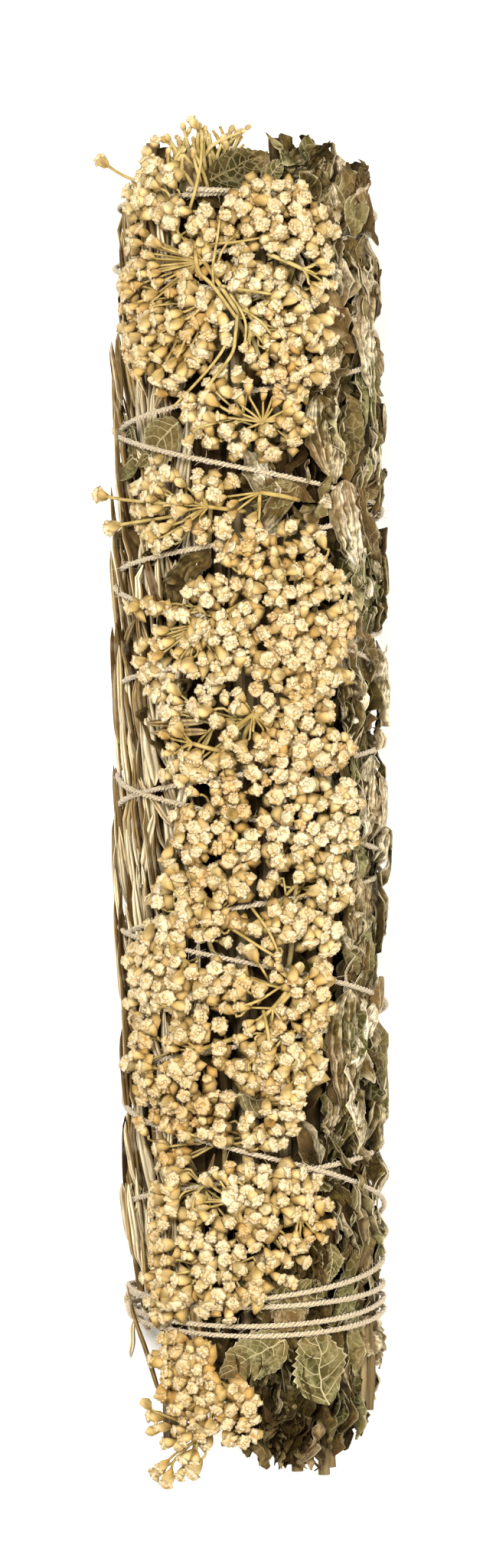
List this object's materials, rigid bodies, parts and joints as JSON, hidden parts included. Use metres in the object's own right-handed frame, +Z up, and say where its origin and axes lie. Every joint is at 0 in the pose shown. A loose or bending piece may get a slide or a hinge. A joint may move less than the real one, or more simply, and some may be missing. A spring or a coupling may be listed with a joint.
{
  "type": "herb smudge bundle",
  "caption": "Dried yarrow heads, mint leaves and rosemary laid side by side and bound into a long round bundle with criss-crossed cotton twine.",
  "frame": {"origin": "on the surface the bundle lies on, under the middle of its box", "axes": "+Y along the bundle towards the end with the most flowers, +Z up out of the flower side, +X across to the mint side"},
  "size_m": [0.0493, 0.2259, 0.0468],
  "materials": {
    "yarrow_flower": "dry papery cream florets with brown centres",
    "mint_leaf": "dried crinkled grey-green leaf with pale veins",
    "rosemary": "dried grooved grey-tan needles",
    "woody_stem": "dried ribbed stem with pale cut ends",
    "cotton_twine": "undyed three-ply cotton with loose fibres"
  },
  "bodies": {
    "root": {"yarrow_head_01": "yarrow_flower", "yarrow_head_02": "yarrow_flower", "yarrow_head_03": "yarrow_flower", "yarrow_head_04": "yarrow_flower", "yarrow_head_05": "yarrow_flower", "yarrow_head_06": "yarrow_flower", "yarrow_head_07": "yarrow_flower", "yarrow_head_08": "yarrow_flower", "yarrow_head_09": "yarrow_flower", "yarrow_head_10": "yarrow_flower", "yarrow_head_11": "yarrow_flower", "yarrow_head_12": "yarrow_flower", "yarrow_head_13": "yarrow_flower", "yarrow_head_14": "yarrow_flower", "yarrow_head_15": "yarrow_flower", "yarrow_head_16": "yarrow_flower", "yarrow_head_17": "yarrow_flower", "yarrow_head_18": "yarrow_flower", "yarrow_head_19": "yarrow_flower", "yarrow_head_20": "yarrow_flower", "yarrow_head_21": "yarrow_flower", "yarrow_head_22": "yarrow_flower", "yarrow_head_23": "yarrow_flower", "yarrow_head_24": "yarrow_flower", "yarrow_spray_loose": "yarrow_flower", "mint_sprig_1": "mint_leaf", "mint_sprig_2": "mint_leaf", "mint_sprig_3": "mint_leaf", "mint_sprig_4": "mint_leaf", "mint_sprig_5": "mint_leaf", "mint_sprig_6": "mint_leaf", "mint_sprig_7": "mint_leaf", "mint_leaf_top": "mint_leaf", "mint_leaf_left": "mint_leaf", "mint_leaf_middle": "mint_leaf", "mint_leaf_low": "mint_leaf", "mint_leaf_bottom_left": "mint_leaf", "mint_leaf_bottom_right": "mint_leaf", "mint_leaf_end": "mint_leaf", "rosemary_sprig_1": "rosemary", "rosemary_sprig_2": "rosemary", "rosemary_sprig_3": "rosemary", "rosemary_sprig_4": "rosemary", "yarrow_stems": "woody_stem", "mint_stems": "woody_stem", "rosemary_stems": "woody_stem", "twine": "cotton_twine"}
  },
  "joints": []
}
